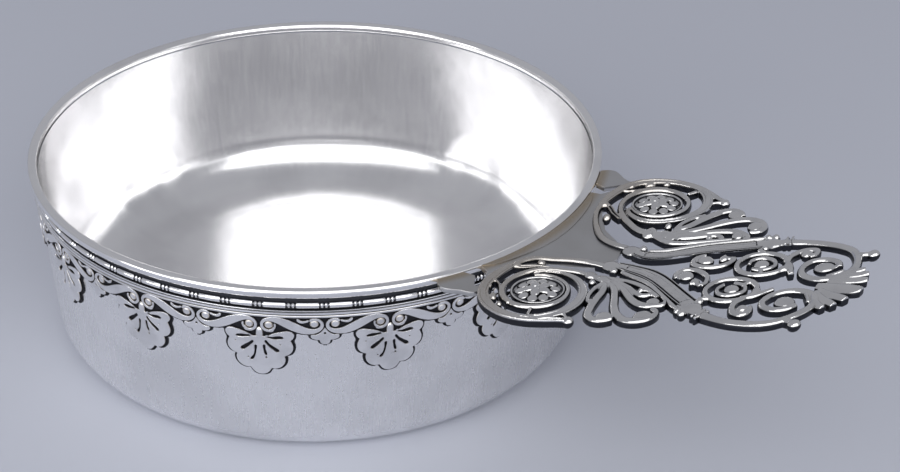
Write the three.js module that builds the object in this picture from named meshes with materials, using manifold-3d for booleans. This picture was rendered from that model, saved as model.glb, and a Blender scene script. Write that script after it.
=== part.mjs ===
// Silver porringer: a round straight-sided bowl with applied wires and a palmette frieze
// round its lip, and one flat openwork handle of scrolls that rises away from the rim.
// Millimetres. The origin is the centre of the base, +Z is up and the handle lies along +X.
// Handle places are given as [u, t]: u is the distance beyond the rim, t the distance from
// the handle's middle line.

import * as THREE from 'three';
import { mergeVertices } from 'three/addons/utils/BufferGeometryUtils.js';
import Module from 'manifold-3d';

const wasm = await Module();
wasm.setup();

// bowl
const rimRadius = 63.5;
const bowlHeight = 42.5;
const sheet = 0.9;
const floorThickness = 1;
const cornerRadius = 7;
const wallFootRadius = 59.9;
const wallTopRadius = 62.2;
const wallTop = 40.3;
const seam = 0.12;
const turnSteps = 64;

// wires on the bowl, by height above the table
const rimWire = { low: 40.55, high: bowlHeight, inner: 61.3, shoulder: 0.55 };
const reelWire = { low: 37.85, high: 39, outer: 62.75, edge: 0.15, reels: 60 };
const reelBead = { swell: 0.2, length: 0.2 };
const filletWire = { low: 36.3, high: 37.45, outer: 62.65, torus: 0.5 };
const filletGroove = { depth: 0.25, height: 0.2 };

// The reels and the palmettes start this far round from the handle's middle line.
const galleryTurn = (0.77 * Math.PI) / 180;

// The frieze hangs from a plain strip. Its lower edge is half a palmette and half a drop, given
// as distance along the band and height.
const frieze = { palmettes: 15, high: 36.15, dropTip: 29.1, relief: 0.65, edge: 0.15 };
const friezeEdge = [
  [0, 21.3], [1.8, 22], [2.4, 23.2], [4.2, 24.2], [4.8, 26], [6.6, 28.2], [6.9, 31], [7.3, 31.8],
  [10.2, 31.8],
];

// handle
const castThickness = 2.1;
const joinGap = 0.3;
const halfGap = 0.15;
const heelPlate = { low: 40.9, high: 42, innerRadius: 63.62, castingGap: 0.28 };
const stepLength = 2.6;
const smallStep = 1.6;
const beadRise = 0.15;
const weldTolerance = 1e-3;
const beadSides = 8;
const postSides = 12;
const rosetteSides = 16;
const farReach = 200;

// The middle of the castings' thickness climbs away from the rim in a shallow curve.
const handleHeight = (u) => bowlHeight + 0.04 + 0.0613 * u + 0.00195 * u * u;
const wallRadius = (z) => {
  const climb = (z - cornerRadius) / (wallTop - cornerRadius);
  return wallFootRadius + (wallTopRadius - wallFootRadius) * climb;
};

// Cross-sections as [across, up]: parts of the half width and of the half thickness.
const roundedSection = [[-0.8, -1], [-1, 0.1], [0, 1], [1, 0.1], [0.8, -1]];
const flutedSection = [
  [-0.9, -1], [-1, 0.2], [-0.72, 0.8], [-0.42, 0.2], [0, 1],
  [0.42, 0.2], [0.72, 0.8], [1, 0.2], [0.9, -1],
];
const cutterSection = [[-1, -5], [-1, 5], [1, 5], [1, -5]];

// The volute's band and the ring round its rosette turn about one centre.
const rosetteCentre = [11.9, 21.2];
const rosetteRadius = 5.3;
const rosetteDome = [[rosetteRadius, 0.3], [4.2, 0.9], [2.4, 1.35], [1.2, 1.35], [0, 1.6]];
const volute = {
  strokes: [
    {
      route: [
        [15.8, 4.4, 1.4], [12.3, 4.8, 1.7], [8, 7, 1.9], [4.6, 10.5, 2], [2.4, 14.6, 2], [1.4, 19, 2],
        [1.7, 23.5, 2], [3.7, 27.6, 2], [7.5, 31, 2], [12.4, 32.4, 2.1], [16.8, 31.3, 2.2],
        [20.2, 28.2, 2.2], [21.6, 24, 2.2], [20.9, 19.6, 2.1], [18.3, 15.8, 2.1], [14.3, 13.4, 2],
        [10, 13.6, 1.8], [6.8, 16.2, 1.6],
      ],
    },
    { ring: [...rosetteCentre, 6.5], width: 1.7 },
    { route: [[17.3, 31.5, 1.4], [20.6, 30.5, 1.5], [23.4, 28.7, 1.1]] },
    { route: [[5.6, 10.6, 1.3], [9.5, 9, 1.1], [13.2, 7, 1.2], [14.6, 5.6, 1]] },
    { route: [[2, 22.4, 1.4], [5.3, 22, 0.9]] },
    { route: [[10.3, 32.1, 1.4], [10.6, 28.2, 0.9]] },
    { route: [[18.4, 30.2, 1.2], [16.6, 26.2, 0.9]] },
  ],
  beads: [[3.6, 13.3, 1.6], [24, 28.4, 1.1], [6.2, 10.3, 1.2]],
};

const rail = {
  strokes: [
    {
      route: [[18.5, 4, 4], [21, 4, 5], [27, 5.8, 5.4], [34, 9.6, 5.5], [40.6, 13.6, 5]],
      section: flutedSection,
    },
    { route: [[39.8, 13.2, 5.4], [42.2, 14.9, 4.6], [43.8, 15.8, 2.6]] },
    { route: [[43.3, 18.2, 1.1], [44.3, 16, 1.3], [45.2, 13.6, 1.1]] },
  ],
  beads: [[18.2, 4.3, 2.3]],
};

const huskFan = {
  strokes: [
    { route: [[17.5, 11.2, 2.2], [20.5, 11.2, 2.4], [23.4, 12, 2.6]] },
    { route: [[22, 11.8, 1.5], [22.8, 16, 1.6], [23.5, 20, 1.7]], step: 4 },
    { route: [[22.5, 12, 1.6], [25, 17.2, 2], [26.4, 21.5, 2.4], [28.6, 24.8, 3]], step: 3 },
    {
      route: [[23, 12.2, 1.8], [27, 16.4, 2], [30.5, 20.3, 2.4], [33.4, 22.2, 2.8], [35.8, 21.4, 3]],
      step: 3,
    },
    { route: [[23.2, 12.2, 1.8], [27.4, 14.6, 2], [31, 16.8, 2.4], [34, 16.5, 2.6]], step: 3 },
    { route: [[23, 11.6, 1.8], [26.4, 11.6, 1.7], [29.6, 12.4, 1.8]], step: 3.5 },
  ],
  beads: [
    [17.4, 11.3, 1.4], [20.4, 10.7, 1.3],
    [23.6, 20.6, 1.2], [29.3, 25.2, 2.1], [36.2, 21.3, 2.2], [34.2, 16.4, 1.8], [30, 12.4, 1.3],
  ],
};

const endScroll = {
  strokes: [
    {
      route: [
        [45.4, 17, 2.4], [49, 18.2, 2], [53.5, 18.2, 1.8], [57.5, 16.8, 1.9], [60.6, 13.6, 2],
        [62.3, 9.6, 1.9], [61.8, 5.8, 1.8], [59.4, 3.2, 1.7], [56.3, 2.6, 1.7], [54, 4.8, 1.7],
        [53.8, 8.3, 1.7], [55.6, 10.8, 1.7], [58, 10, 1.8],
      ],
      step: 1.8,
    },
    { route: [[59.6, 15.8, 1.5], [61.8, 15.2, 1.4], [63.4, 15.6, 1.2]] },
  ],
  beads: [[57.4, 8.4, 1.9], [63.6, 15.7, 1.1]],
};

const ringScroll = {
  strokes: [
    { ring: [45, 5.9, 4.8], width: 1.3 },
    {
      route: [
        [41, 8.4, 1.1], [43, 8.6, 1.2], [45.6, 8.3, 1.3], [47.5, 6, 1.3], [46.3, 3.6, 1.3],
        [44, 3.5, 1.2], [43, 5.2, 1.1], [44.2, 6.3, 1.1],
      ],
      step: smallStep,
    },
    {
      route: [
        [49.7, 4.4, 1.2], [49, 8.6, 1.4], [49, 12.2, 1.5], [50.7, 14.8, 1.6], [52.9, 14.2, 1.7],
        [52.9, 12.2, 1.4],
      ],
      step: smallStep,
    },
    { route: [[49.4, 10, 1.3], [51.6, 7.8, 2], [52.9, 5.8, 1.5]] },
    { route: [[43.6, 10, 1.3], [41.8, 11.5, 1.4]] },
    { route: [[47.2, 1.6, 1.1], [46.6, 4, 0.9]] },
  ],
  beads: [[45, 5.6, 1.5], [52.5, 12.6, 1.3]],
};

const smallScroll = {
  strokes: [
    {
      route: [
        [33.2, 5.6, 1.2], [31.7, 3.4, 1.3], [33, 1.2, 1.3], [35.9, 0.9, 1.4], [38.6, 2.9, 1.4],
        [39.3, 6.4, 1.3],
      ],
      step: smallStep,
    },
    { route: [[39.1, 5.4, 1.3], [36.9, 5.8, 1.2]] },
  ],
  beads: [[34, 4.2, 1.7], [37.2, 5.8, 1.4]],
};

const tipPalmette = {
  strokes: [
    { route: [[60.4, 0, 2.6], [63, 0, 4.4], [65.8, 0, 5], [67.9, 0, 3], [68.6, 0, 1.4]] },
    { route: [[61.6, 1, 2], [64.4, 2.8, 2.6], [67.1, 4, 2]] },
    { route: [[61.8, 1.6, 1.6], [64.2, 4.6, 2.4], [66.5, 6.8, 1.8]] },
    { route: [[62.4, 2.6, 1.4], [64.1, 6.4, 2], [65.3, 8.9, 1.5]] },
  ],
  beads: [],
};

function silver(roughness, color = 0xd2d3d6) {
  return new THREE.MeshStandardMaterial({ color, roughness, metalness: 1 });
}

// A closed surface becomes a solid once its shared points are welded and flat slivers dropped.
function solidOf(geometry) {
  geometry.deleteAttribute('normal');
  geometry.deleteAttribute('uv');
  const welded = mergeVertices(geometry, weldTolerance);
  const corners = welded.index.array;
  const triVerts = [];
  for (let i = 0; i < corners.length; i += 3) {
    const [a, b, c] = [corners[i], corners[i + 1], corners[i + 2]];
    if (a !== b && b !== c && c !== a) triVerts.push(a, b, c);
  }
  return new wasm.Manifold(new wasm.Mesh({
    numProp: 3,
    vertProperties: new Float32Array(welded.attributes.position.array),
    triVerts: new Uint32Array(triVerts),
  }));
}

function geometryOf(solid) {
  const mesh = solid.getMesh();
  const geometry = new THREE.BufferGeometry();
  geometry.setAttribute('position', new THREE.BufferAttribute(new Float32Array(mesh.vertProperties), 3));
  geometry.setIndex([...mesh.triVerts]);
  return geometry;
}

// Rows of points, each row one closed section, skinned into a surface. The row of rows is
// either closed on itself or capped at both ends.
function skin(rows, closed) {
  const around = rows[0].length;
  const positions = rows.flat(2);
  const index = [];
  const last = closed ? rows.length : rows.length - 1;
  for (let i = 0; i < last; i += 1) {
    for (let j = 0; j < around; j += 1) {
      const a = i * around + j;
      const b = i * around + ((j + 1) % around);
      const c = ((i + 1) % rows.length) * around + j;
      const d = ((i + 1) % rows.length) * around + ((j + 1) % around);
      index.push(a, b, d, a, d, c);
    }
  }
  const cap = (row, start, flip) => {
    const middle = positions.length / 3;
    const sum = [0, 1, 2].map((k) => row.reduce((total, point) => total + point[k], 0) / around);
    positions.push(...sum);
    for (let j = 0; j < around; j += 1) {
      const a = start + j;
      const b = start + ((j + 1) % around);
      index.push(middle, flip ? b : a, flip ? a : b);
    }
  };
  if (!closed) {
    cap(rows[0], 0, true);
    cap(rows[rows.length - 1], (rows.length - 1) * around, false);
  }
  const geometry = new THREE.BufferGeometry();
  geometry.setAttribute('position', new THREE.Float32BufferAttribute(positions, 3));
  geometry.setIndex(index);
  return geometry;
}

// A band swept flat along a route of [u, t, width] points, its middle at height zero.
function sweepBand(stroke, section, extraWidth) {
  const closed = Boolean(stroke.ring);
  const step = stroke.step ?? stepLength;
  let route = stroke.route;
  if (closed) {
    const [u, t, radius] = stroke.ring;
    const turns = Math.ceil((2 * Math.PI * radius) / step);
    route = [...Array(turns).keys()].map((k) => {
      const angle = (2 * Math.PI * k) / turns;
      return [u + radius * Math.cos(angle), t + radius * Math.sin(angle), stroke.width];
    });
  }
  const curve = new THREE.CatmullRomCurve3(route.map((p) => new THREE.Vector3(...p)), closed);
  const steps = closed ? route.length : Math.max(3, Math.ceil(curve.getLength() / step));
  const rows = [];
  for (let i = 0; i < (closed ? steps : steps + 1); i += 1) {
    const point = curve.getPointAt(i / steps);
    const ahead = curve.getTangentAt(i / steps).setZ(0).normalize();
    const half = point.z / 2 + extraWidth;
    rows.push(section.map(([across, up]) => [
      point.x + ahead.y * across * half,
      point.y - ahead.x * across * half,
      (up * castThickness) / 2,
    ]));
  }
  return solidOf(skin(rows, closed));
}

function bead(u, t, radius) {
  const geometry = new THREE.SphereGeometry(radius, beadSides, beadSides / 2);
  geometry.rotateX(Math.PI / 2);
  geometry.scale(1, 1, (castThickness / 2 + beadRise) / radius);
  geometry.translate(u, t, 0);
  return solidOf(geometry);
}

function post(u, t, radius) {
  const geometry = new THREE.CylinderGeometry(radius, radius, 6 * castThickness, postSides);
  geometry.rotateX(Math.PI / 2);
  geometry.translate(u, t, 0);
  return solidOf(geometry);
}

const joined = (solids) => solids.reduce((whole, next) => whole.add(next));

function casting(motif) {
  return joined([
    ...motif.strokes.map((stroke) => sweepBand(stroke, stroke.section ?? roundedSection, 0)),
    ...motif.beads.map(([u, t, radius]) => bead(u, t, radius)),
  ]);
}

// The room a motif takes in plan, with the soldered joint's gap round it.
function clearanceOf(motif) {
  return joined([
    ...motif.strokes.map((stroke) => sweepBand(stroke, cutterSection, joinGap)),
    ...motif.beads.map(([u, t, radius]) => post(u, t, radius + joinGap)),
  ]);
}

// Keeps the half of a casting that lies on the +t side of the handle's middle line.
function leftHalf(solid) {
  const other = new THREE.BoxGeometry(farReach, farReach, farReach);
  other.translate(0, halfGap - farReach / 2, 0);
  return solid.subtract(solidOf(other));
}

// Lifts a flat shape onto the handle's crest curve and moves it out beyond the rim.
function drape(solid) {
  const geometry = geometryOf(solid);
  const place = geometry.attributes.position;
  for (let i = 0; i < place.count; i += 1) {
    const u = place.getX(i);
    place.setXYZ(i, rimRadius + u, place.getY(i), place.getZ(i) + handleHeight(Math.max(0, u)));
  }
  return geometry;
}

function mirrored(geometry) {
  const copy = geometry.clone();
  copy.scale(1, -1, 1);
  copy.index.array.reverse();
  return copy;
}

function turned(profile) {
  const geometry = new THREE.LatheGeometry(profile.map(([r, z]) => new THREE.Vector2(r, z)), turnSteps);
  geometry.rotateX(Math.PI / 2);
  return geometryOf(solidOf(geometry));
}

function arcPoints(centreR, centreZ, radius, from, to, count) {
  return [...Array(count + 1).keys()].map((k) => {
    const angle = from + ((to - from) * k) / count;
    return [centreR + radius * Math.cos(angle), centreZ + radius * Math.sin(angle)];
  });
}

function bowl() {
  const cornerR = wallFootRadius - cornerRadius;
  const outside = arcPoints(cornerR, cornerRadius, cornerRadius, -Math.PI / 2, 0, 5);
  const inside = arcPoints(cornerR, cornerRadius, cornerRadius - sheet, 0, -Math.PI / 2, 4);
  const profile = [
    [0, 0], ...outside, [wallTopRadius, wallTop], [wallTopRadius - sheet, wallTop], ...inside,
    [0, floorThickness],
  ];
  return turned(profile);
}

// A wire that lies on the bowl's wall: its back follows the wall, its front is given.
function wallWire(front) {
  const low = front[0][1];
  const high = front[front.length - 1][1];
  const back = [[wallRadius(high) + seam, high], [wallRadius(low) + seam, low]];
  return turned([back[1], ...front, ...back]);
}

function rim() {
  const { low, high, inner, shoulder } = rimWire;
  return turned([
    [inner, low], [rimRadius, low], [rimRadius, high - shoulder], [rimRadius - shoulder, high],
    [inner + shoulder, high], [inner, high - shoulder], [inner, low],
  ]);
}

function fillet() {
  const { low, high, outer, torus } = filletWire;
  const { depth, height } = filletGroove;
  return wallWire([
    [outer, low], [outer, low + torus], [outer - depth, low + torus + height], [outer, high],
  ]);
}

// One section of a ring that is skinned round the bowl's axis.
function ringRow(place, section) {
  const angle = galleryTurn + place;
  return section.map(([r, z]) => [r * Math.cos(angle), r * Math.sin(angle), z]);
}

// Long bars with a swelling bead between them.
function reels() {
  const { low, high, outer, edge, reels: count } = reelWire;
  const back = wallRadius(high) + seam;
  const pitch = (2 * Math.PI) / count;
  const beadSteps = [[-reelBead.length, 0], [0, reelBead.swell], [reelBead.length, 0]];
  const rows = [];
  for (let k = 0; k < count; k += 1) {
    for (const [place, swell] of beadSteps) {
      rows.push(ringRow((k + place) * pitch, [
        [back, high], [outer + swell, high - edge], [outer + swell, low + edge], [back, low],
      ]));
    }
  }
  return geometryOf(solidOf(skin(rows, true)));
}

function friezeBand() {
  const { palmettes, high, dropTip, relief, edge } = frieze;
  const pitch = (2 * Math.PI) / palmettes;
  const unit = [
    ...friezeEdge.slice(1).reverse().map(([along, z]) => [-along, z]),
    ...friezeEdge,
    [(pitch * wallTopRadius) / 2, dropTip],
  ];
  const back = (z) => wallRadius(z) + seam;
  const rows = [];
  for (let k = 0; k < palmettes; k += 1) {
    for (const [along, low] of unit) {
      rows.push(ringRow((k + 0.5) * pitch + along / wallTopRadius, [
        [back(high), high],
        [back(high) + relief, high],
        [back(low) + relief - edge, low + edge],
        [back(low), low],
      ]));
    }
  }
  return geometryOf(solidOf(skin(rows, true)));
}

// The plain plate under the scrolls: a crescent along the rim with a pointed tongue. A slot on
// each side parts its wing from the volute.
const heelApex = 16.5;
const heelEdge = [
  [-6.7, 28.6], [-5.6, 29.8], [-4.2, 30.4], [-2.8, 30], [-0.8, 28.9], [1.8, 28], [3, 24], [2.6, 18.5],
  [3.4, 13], [7.4, 8.2], [14.6, 4.4],
];
const heelSlot = [[-1.9, 22.8], [0.4, 26], [1.2, 25.2], [-0.9, 20]];
const slotEnds = [23.2, 19.3];

function heelShape() {
  const { innerRadius } = heelPlate;
  const shape = new THREE.Shape();
  const angleAt = (t) => Math.asin(t / innerRadius);
  const [wing, slotOut, slotIn] = [heelEdge[0][1], ...slotEnds].map(angleAt);
  shape.moveTo(heelApex, 0);
  for (const [u, t] of [...heelEdge].reverse()) shape.lineTo(u, t);
  shape.absarc(-rimRadius, 0, innerRadius, wing, slotOut, true);
  for (const [u, t] of heelSlot) shape.lineTo(u, t);
  shape.absarc(-rimRadius, 0, innerRadius, slotIn, -slotIn, true);
  for (const [u, t] of [...heelSlot].reverse()) shape.lineTo(u, -t);
  shape.absarc(-rimRadius, 0, innerRadius, -slotOut, -wing, true);
  for (const [u, t] of heelEdge) shape.lineTo(u, -t);
  return shape;
}

// A slab of the plate's outline, in the castings' flat frame, between two heights.
function heelSlab(low, high) {
  const extent = { depth: high - low, bevelEnabled: false, curveSegments: 8 };
  const geometry = new THREE.ExtrudeGeometry(heelShape(), extent);
  geometry.translate(0, 0, low);
  return solidOf(geometry);
}

function rosette() {
  const low = -castThickness / 2;
  const profile = [[0, low], [rosetteRadius, low], ...rosetteDome];
  const geometry = new THREE.LatheGeometry(profile.map(([r, z]) => new THREE.Vector2(r, z)), rosetteSides);
  geometry.rotateX(Math.PI / 2);
  geometry.translate(...rosetteCentre, 0);
  return solidOf(geometry);
}

const porringer = new THREE.Group();

function addPiece(name, geometry, material) {
  const mesh = new THREE.Mesh(geometry, material);
  mesh.name = name;
  porringer.add(mesh);
}

addPiece('bowl', bowl(), silver(0.2, 0xd8d8dc));
addPiece('rim_wire', rim(), silver(0.18));
addPiece('reel_wire', reels(), silver(0.25, 0xbdbec2));
addPiece('fillet_wire', fillet(), silver(0.22, 0xbdbec2));
addPiece('frieze_band', friezeBand(), silver(0.3, 0xb4b5b9));

const { low: plateLow, high: plateHigh, castingGap } = heelPlate;
const heightAtRim = handleHeight(0);
const plate = heelSlab(plateLow - heightAtRim, plateHigh - heightAtRim);
addPiece('heel_plate', drape(plate), silver(0.3, 0xb8b8bc));

// Each motif is cut back from the ones before it, so that it ends at a soldered joint, and
// from the plate, which it lies on.
const plateRoom = heelSlab(-farReach / 2, plateHigh + castingGap - heightAtRim);
const motifs = {
  volute,
  rail,
  husk_fan: huskFan,
  end_scroll: endScroll,
  ring_scroll: ringScroll,
  small_scroll: smallScroll,
};
const taken = [plateRoom];
for (const [name, motif] of Object.entries(motifs)) {
  const whole = leftHalf(casting(motif));
  const geometry = drape(taken.reduce((piece, room) => piece.subtract(room), whole));
  addPiece(`left_${name}`, geometry, silver(0.22));
  addPiece(`right_${name}`, mirrored(geometry), silver(0.22));
  taken.push(clearanceOf(motif));
}
const rosetteGeometry = drape(rosette());
addPiece('left_rosette', rosetteGeometry, silver(0.3, 0xbdbdc0));
addPiece('right_rosette', mirrored(rosetteGeometry), silver(0.3, 0xbdbdc0));

// The palmette at the tip crosses the middle line, so both halves' scrolls cut it.
const halfTip = casting(tipPalmette);
const scrollRoom = clearanceOf(endScroll);
const tip = [halfTip, solidOf(mirrored(geometryOf(halfTip)))];
const rooms = [scrollRoom, solidOf(mirrored(geometryOf(scrollRoom)))];
const tipCut = rooms.reduce((piece, room) => piece.subtract(room), joined(tip));
addPiece('tip_palmette', drape(tipCut), silver(0.22));

export default porringer;
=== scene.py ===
import bpy
import math
from mathutils import Matrix, Vector
from mathutils.bvhtree import BVHTree


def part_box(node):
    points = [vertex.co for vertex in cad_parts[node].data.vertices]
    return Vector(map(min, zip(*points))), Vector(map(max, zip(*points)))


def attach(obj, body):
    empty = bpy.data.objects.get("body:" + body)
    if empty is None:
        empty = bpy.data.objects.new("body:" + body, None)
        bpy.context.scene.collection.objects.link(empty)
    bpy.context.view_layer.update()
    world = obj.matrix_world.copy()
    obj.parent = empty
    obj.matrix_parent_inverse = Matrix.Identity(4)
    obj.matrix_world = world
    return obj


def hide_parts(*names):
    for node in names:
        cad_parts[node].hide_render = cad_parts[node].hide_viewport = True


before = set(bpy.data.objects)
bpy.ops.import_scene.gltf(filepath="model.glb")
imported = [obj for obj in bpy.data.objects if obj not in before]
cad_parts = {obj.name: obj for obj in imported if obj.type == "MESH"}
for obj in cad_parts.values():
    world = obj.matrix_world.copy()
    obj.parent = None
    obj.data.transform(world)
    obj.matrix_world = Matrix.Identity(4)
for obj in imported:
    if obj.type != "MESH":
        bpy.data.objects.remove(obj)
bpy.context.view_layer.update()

# Shapes are drawn in millimetres and brought down to metres when a piece is finished.
mm = 0.001


# small helpers for modelling
def clearPick():
    if bpy.context.object and bpy.context.object.mode != "OBJECT":
        bpy.ops.object.mode_set(mode="OBJECT")
    bpy.ops.object.select_all(action="DESELECT")


def putIn(thing):
    bpy.context.scene.collection.objects.link(thing)
    return thing


def copyOf(piece):
    copy = piece.copy()
    copy.data = piece.data.copy()
    return putIn(copy)


def pick(*pieces):
    clearPick()
    for piece in pieces:
        piece.select_set(True)
    bpy.context.view_layer.objects.active = pieces[0]


def editAll(piece):
    pick(piece)
    bpy.ops.object.mode_set(mode="EDIT")
    bpy.ops.mesh.select_all(action="SELECT")


def leaveEdit():
    bpy.ops.object.mode_set(mode="OBJECT")


def applyAll(piece):
    pick(piece)
    for modifier in list(piece.modifiers):
        bpy.ops.object.modifier_apply(modifier=modifier.name)


def joinAll(pieces):
    pick(*pieces)
    if len(pieces) > 1:
        bpy.ops.object.join()
    bpy.ops.object.transform_apply(location=True, rotation=True, scale=True)
    return pieces[0]


def mergeShell(piece, distance=0.01):
    editAll(piece)
    bpy.ops.mesh.remove_doubles(threshold=distance)
    bpy.ops.mesh.normals_make_consistent(inside=False)
    leaveEdit()


def finishPiece(piece, name, material, stands, angle=35):
    pick(piece)
    bpy.ops.object.transform_apply(location=True, rotation=True, scale=True)
    piece.data.transform(Matrix.Scale(mm, 4))
    piece.name = name
    piece.data.name = name
    piece.data.materials.clear()
    piece.data.materials.append(material)
    bpy.ops.object.shade_smooth_by_angle(angle=math.radians(angle))
    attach(piece, "root")
    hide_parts(*stands)
    return piece


# shader maths: a socket that can be added, multiplied and so on
class Flow:
    def __init__(self, tree, socket):
        self.tree = tree
        self.socket = socket

    def maths(self, kind, other=0.0, turned=False, clamp=False):
        node = self.tree.nodes.new("ShaderNodeMath")
        node.operation = kind
        node.use_clamp = clamp
        pair = (other, self) if turned else (self, other)
        for slot, value in zip(node.inputs, pair):
            if isinstance(value, Flow):
                self.tree.links.new(value.socket, slot)
            else:
                slot.default_value = value
        return Flow(self.tree, node.outputs[0])

    def __add__(self, other):
        return self.maths("ADD", other)

    def __sub__(self, other):
        return self.maths("SUBTRACT", other)

    def __rsub__(self, other):
        return self.maths("SUBTRACT", other, turned=True)

    def __mul__(self, other):
        return self.maths("MULTIPLY", other)

    def __truediv__(self, other):
        return self.maths("DIVIDE", other)

    def __pow__(self, other):
        return self.maths("POWER", other)

    __radd__ = __add__
    __rmul__ = __mul__

    def held(self):
        return self.maths("ADD", 0.0, clamp=True)

    def larger(self, other):
        return self.maths("MAXIMUM", other)


class Paint:
    def __init__(self, tree):
        self.tree = tree
        self.tree.nodes.clear()

    def add(self, kind, settings=None, sockets=None, out=0):
        node = self.tree.nodes.new("ShaderNode" + kind)
        for key, value in (settings or {}).items():
            setattr(node, key, value)
        for key, value in (sockets or {}).items():
            slot = node.inputs[key]
            if isinstance(value, Flow):
                self.tree.links.new(value.socket, slot)
            else:
                slot.default_value = value
        return Flow(self.tree, node.outputs[out] if len(node.outputs) else None)

    def step(self, value, low, high):
        return self.add("MapRange", {"interpolation_type": "SMOOTHSTEP"},
                        {"Value": value, "From Min": low, "From Max": high})

    def noise(self, vector, scale, detail):
        return self.add("TexNoise", {}, {"Vector": vector, "Scale": scale, "Detail": detail})

    def blend(self, factor, first, second):
        settings = {"data_type": "RGBA"}
        return self.add("Mix", settings, {0: factor, 6: colour(first), 7: colour(second)}, out=2)

    def place(self):
        spot = self.add("TexCoord", out=3)
        axes = self.tree.nodes.new("ShaderNodeSeparateXYZ")
        self.tree.links.new(spot.socket, axes.inputs[0])
        return [Flow(self.tree, out) * (1 / mm) for out in axes.outputs]

    def vector(self, x, y, z):
        return self.add("CombineXYZ", {}, {"X": x, "Y": y, "Z": z})


def colour(value):
    return value if isinstance(value, Flow) else (*value, 1)


# the bowl's measures in millimetres
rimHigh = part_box("rim_wire")[1] / mm
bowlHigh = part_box("bowl")[1] / mm
bowlForm = {
    "rim": rimHigh.x,
    "height": rimHigh.z,
    "wallTop": bowlHigh.x,
    "lip": bowlHigh.z,
    "wallFoot": 59.9,
    "corner": 7.0,
    "sheet": 0.9,
    "foot": [(0.004, 0), (30, 0)],
    "wallSteps": (14, 21, 28, 35),
    "insideStart": 16,
    "steps": 192,
    "galleryTurn": math.radians(0.77),
}


def wallRadius(z):
    climb = (z - bowlForm["corner"]) / (bowlForm["lip"] - bowlForm["corner"])
    return bowlForm["wallFoot"] + (bowlForm["wallTop"] - bowlForm["wallFoot"]) * climb


# The handle hangs on this curve, which climbs away from the rim.
crest = {"start": rimHigh.z + 0.04, "slope": 0.0613, "bend": 0.00195}


def crestHeight(u):
    return crest["start"] + crest["slope"] * u + crest["bend"] * u * u


# One recipe for all the silver: a look is given for each finish, and masks for tarnish with painted shade,
# and for stains.
shades = {
    "clean": (0.93, 0.925, 0.93),
    "worn": (0.74, 0.735, 0.73),
    "satin": (0.50, 0.495, 0.49),
    "grey": (0.58, 0.58, 0.59),
    # the dark below is oxide, and also painted shade behind the wires and in recesses
    "oxideAndShade": (0.016, 0.018, 0.026),
    "brown": (0.40, 0.32, 0.22),
}
silverForm = {
    "grain": 3.0,           # noise per millimetre
    "streakRadius": 60.0,   # turns the angle round the bowl into millimetres
    "cloudRange": (0.42, 0.72),
    "cloudRough": 0.10,
    "grainRough": 0.05,
    "stainRough": 0.2,
    # rougher where the dark mask paints oxide and shade
    "oxideAndShadeRough": 0.3,
    "leastRough": 0.03,
    "bumpDistance": 0.0001,
}


def silver(name, look, dark=None, stain=None, satin=None, relief=None):
    form = silverForm
    material = bpy.data.materials.new(name)
    material.use_nodes = True
    paint = Paint(material.node_tree)
    x, y, z = paint.place()
    cloud = paint.noise(paint.vector(x, y, z), look["cloud"], 3.0)
    grain = paint.noise(paint.vector(x, y, z), form["grain"], 4.0)
    around = y.maths("ARCTAN2", x) * form["streakRadius"]
    streak = paint.noise(paint.vector(around, z * look["drag"], 1.0), look["streak"], 4.0)
    dull = paint.step(cloud, *form["cloudRange"]) * look["dull"]
    tone = paint.blend(dull, shades[look.get("base", "clean")], shades["grey"])
    rough = look["rough"] + (cloud - 0.5) * form["cloudRough"]
    rough = rough + (streak - 0.5) * look["scratch"] + (grain - 0.5) * form["grainRough"]
    if satin:
        rough = rough + satin(paint, x, y, z)
    if stain:
        mask = stain(paint, x, y, z)
        tone = paint.blend((mask * (grain + 0.3)).held(), tone, shades["brown"])
        rough = rough + mask * form["stainRough"]
    # The dark mask paints oxide, with painted shade in recesses and behind the wires.
    if dark:
        mask = dark(paint, x, y, z)
        tone = paint.blend(mask, tone, shades["oxideAndShade"])
        rough = rough + mask * form["oxideAndShadeRough"]
    height = cloud * look["wave"] + streak * look["scratch"] + grain * look["grain"]
    if relief:
        height = height + relief(paint, x, y, z)
    bump = paint.add("Bump", {}, {
        "Height": height, "Strength": look["bump"], "Distance": form["bumpDistance"],
    })
    shader = paint.add("BsdfPrincipled", {}, {
        "Base Color": tone, "Roughness": rough.larger(form["leastRough"]), "Metallic": 1.0, "Normal": bump,
    })
    paint.add("OutputMaterial", {}, {"Surface": shader})
    return material


# how far a point stands out from the wall's outer face.
def proudOfWall(x, y, z):
    return (x * x + y * y) ** 0.5 - wallRadius(z)


# turned pieces: a circle drawn up ring by ring
def turnRings(rings, steps):
    radius, height = rings[0]
    clearPick()
    bpy.ops.mesh.primitive_circle_add(vertices=steps, radius=radius, location=(0, 0, height))
    piece = bpy.context.object
    editAll(piece)
    for nextRadius, nextHeight in rings[1:]:
        bpy.ops.mesh.extrude_region_move(TRANSFORM_OT_translate={"value": (0, 0, nextHeight - height)})
        grow = nextRadius / radius
        bpy.ops.transform.resize(value=(grow, grow, 1), center_override=(0, 0, nextHeight))
        radius, height = nextRadius, nextHeight
    leaveEdit()
    mergeShell(piece)
    return piece


def arcRings(centre, radius, start, end, count):
    rings = []
    for k in range(count + 1):
        angle = math.radians(start + (end - start) * k / count)
        rings.append((centre[0] + radius * math.cos(angle), centre[1] + radius * math.sin(angle)))
    return rings


bowlLook = {
    "rough": 0.21, "cloud": 0.05, "dull": 0.35, "drag": 0.10, "streak": 1.2, "scratch": 0.12,
    "wave": 6.0, "grain": 0.05, "bump": 0.35,
}
wallSkin = (-0.52, -0.32)       # between the wall's inner and outer faces
underWires = (35.6, 36.3)       # painted shade: the wall is dark behind the wires from here up


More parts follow.
